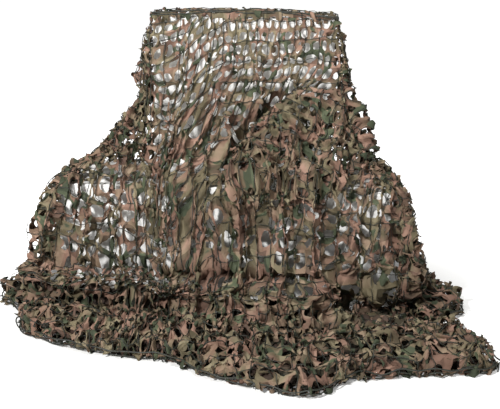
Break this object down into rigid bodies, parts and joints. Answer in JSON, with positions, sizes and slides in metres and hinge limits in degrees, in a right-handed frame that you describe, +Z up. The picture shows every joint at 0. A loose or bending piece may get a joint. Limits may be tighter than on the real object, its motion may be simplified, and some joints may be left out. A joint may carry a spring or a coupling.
{
  "type": "camouflage net draped over a display stand",
  "caption": "Garnished camouflage net draped over a plain stepped stand, hanging from the tall back board and rolled on the floor.",
  "frame": {"origin": "on the floor, under the middle of the low block's underside", "axes": "+Z up, -Y towards the front, +X to the right as seen from the front"},
  "size_m": [1.7989, 1.6283, 1.048],
  "materials": {
    "net_garnish": "leaf-cut brown and green garnish cloth on a knotted dark cord mesh",
    "stand_board": "smooth board with matt white paint"
  },
  "bodies": {
    "root": {"net": "net_garnish", "stand_block": "stand_board", "stand_back": "stand_board"}
  },
  "joints": []
}
